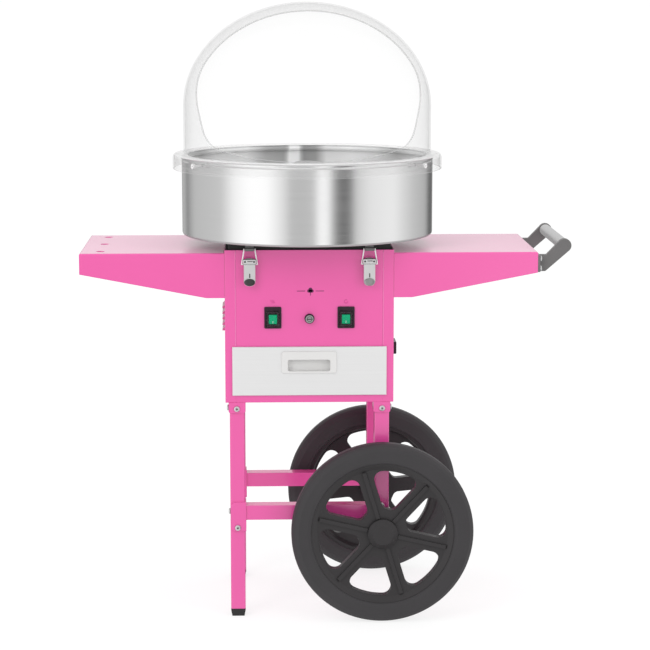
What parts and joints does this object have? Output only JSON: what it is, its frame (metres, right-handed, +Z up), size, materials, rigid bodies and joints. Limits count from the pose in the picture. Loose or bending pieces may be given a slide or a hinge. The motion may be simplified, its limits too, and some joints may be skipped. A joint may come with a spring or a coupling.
{
  "type": "cotton candy machine",
  "caption": "Floss machine in a wheeled cart: spinning head in a steel bowl, clear open-front lift-off dome, sliding drawer, side shelves, grab handle and tube legs.",
  "frame": {"origin": "on the floor, under the centre of the overall bounding box", "axes": "+Z up; the control panel and the dome's opening face -Y; the handle and the wheels are on the +X side"},
  "size_m": [0.9944, 0.557, 1.255],
  "materials": {
    "pink_paint": "semi-gloss powder coat",
    "bowl_steel": "brushed, polished",
    "drawer_steel": "fine brushed",
    "bright_metal": "polished",
    "zinc": "zinc plated",
    "tyre": "matt",
    "wheel_plastic": "satin",
    "handle_plastic": "satin",
    "grip": "satin",
    "clear_dome": "clear gloss",
    "black_rubber": "matt",
    "black_plastic": "gloss",
    "green_lens": "gloss",
    "clear_cover": "clear",
    "pull_plastic": "satin",
    "motor_paint": "satin",
    "heater": "heat tinted",
    "head_metal": "turned"
  },
  "bodies": {
    "cart": {"cart_side_left": "pink_paint", "cart_side_right": "pink_paint", "cart_floor": "pink_paint", "cart_back_panel": "pink_paint", "cart_shelf": "pink_paint", "machine_case": "pink_paint", "wing_left": "pink_paint", "wing_left_skirt": "pink_paint", "wing_right": "pink_paint", "leg_front_left": "pink_paint", "leg_back_left": "pink_paint", "leg_front_right": "pink_paint", "leg_back_right": "pink_paint", "crossbar_front": "pink_paint", "crossbar_back": "pink_paint", "bowl": "bowl_steel", "axle": "zinc", "axle_washers": "zinc", "frame_bolts": "zinc", "bowl_keepers": "zinc", "back_clips": "zinc", "latch_left_base": "bright_metal", "latch_right_base": "bright_metal", "handle_arm_front": "handle_plastic", "handle_arm_back": "handle_plastic", "handle_grip": "grip", "switch_heat_cover": "clear_cover", "switch_spin_cover": "clear_cover", "machine_deck": "black_rubber", "bowl_gasket": "black_rubber", "feet": "black_rubber", "switch_heat_frame": "black_plastic", "switch_spin_frame": "black_plastic", "fuse_holder": "black_plastic", "mains_inlet": "black_plastic", "brush_block": "black_plastic", "motor": "motor_paint"},
    "wheel_front": {"wheel_front_rim": "wheel_plastic", "wheel_front_tyre": "tyre", "wheel_front_cap": "wheel_plastic"},
    "wheel_back": {"wheel_back_rim": "wheel_plastic", "wheel_back_tyre": "tyre", "wheel_back_cap": "wheel_plastic"},
    "spinner": {"spindle": "zinc", "spinner_base": "head_metal", "heater_ribbon": "heater", "spinner_cover": "head_metal"},
    "drawer": {"drawer_box": "zinc", "drawer_front": "drawer_steel", "drawer_pull": "pull_plastic"},
    "dome": {"dome": "clear_dome", "dome_collar": "clear_dome", "collar_screws": "clear_cover"},
    "lever_left": {"latch_left_lever": "bright_metal"},
    "bail_left": {"latch_left_bail": "bright_metal"},
    "lever_right": {"latch_right_lever": "bright_metal"},
    "bail_right": {"latch_right_bail": "bright_metal"},
    "rocker_heat": {"switch_heat_rocker": "green_lens"},
    "rocker_spin": {"switch_spin_rocker": "green_lens"},
    "fuse_cap": {"fuse_cap": "bright_metal"}
  },
  "joints": [
    {"name": "wheel_front_roll", "type": "hinge", "parent": "cart", "child": "wheel_front", "pos_m": [0.11275, -0.1955, 0.186], "axis": [0, 1, 0], "continuous": true},
    {"name": "wheel_back_roll", "type": "hinge", "parent": "cart", "child": "wheel_back", "pos_m": [0.11275, 0.1955, 0.186], "axis": [0, 1, 0], "continuous": true},
    {"name": "spinner_spin", "type": "hinge", "parent": "cart", "child": "spinner", "pos_m": [-0.03475, 0, 0.868], "axis": [0, 0, 1], "continuous": true},
    {"name": "drawer_slide", "type": "slide", "parent": "cart", "child": "drawer", "axis": [0, -1, 0], "range_m": [0, 0.25]},
    {"name": "dome_lift", "type": "slide", "parent": "cart", "child": "dome", "axis": [0, 0, 1], "range_m": [0, 0.25]},
    {"name": "lever_left_swing", "type": "hinge", "parent": "cart", "child": "lever_left", "pos_m": [-0.15525, -0.169, 0.74], "axis": [-1, 0, 0], "range_deg": [0, 90]},
    {"name": "bail_left_swing", "type": "hinge", "parent": "lever_left", "child": "bail_left", "pos_m": [-0.15525, -0.174, 0.735], "axis": [-1, 0, 0], "range_deg": [-90, 0]},
    {"name": "lever_right_swing", "type": "hinge", "parent": "cart", "child": "lever_right", "pos_m": [0.08575, -0.169, 0.74], "axis": [-1, 0, 0], "range_deg": [0, 90]},
    {"name": "bail_right_swing", "type": "hinge", "parent": "lever_right", "child": "bail_right", "pos_m": [0.08575, -0.174, 0.735], "axis": [-1, 0, 0], "range_deg": [-90, 0]},
    {"name": "rocker_heat_rock", "type": "hinge", "parent": "cart", "child": "rocker_heat", "pos_m": [-0.10875, -0.158, 0.6217], "axis": [-1, 0, 0], "range_deg": [0, 18]},
    {"name": "rocker_spin_rock", "type": "hinge", "parent": "cart", "child": "rocker_spin", "pos_m": [0.03925, -0.158, 0.6217], "axis": [-1, 0, 0], "range_deg": [0, 18]},
    {"name": "fuse_cap_turn", "type": "hinge", "parent": "cart", "child": "fuse_cap", "pos_m": [-0.03475, -0.1648, 0.6224], "axis": [0, 1, 0], "range_deg": [0, 90]}
  ],
  "couplings": [
    {"joint": "bail_left_swing", "follows": "lever_left_swing", "ratio": -1},
    {"joint": "bail_right_swing", "follows": "lever_right_swing", "ratio": -1}
  ]
}
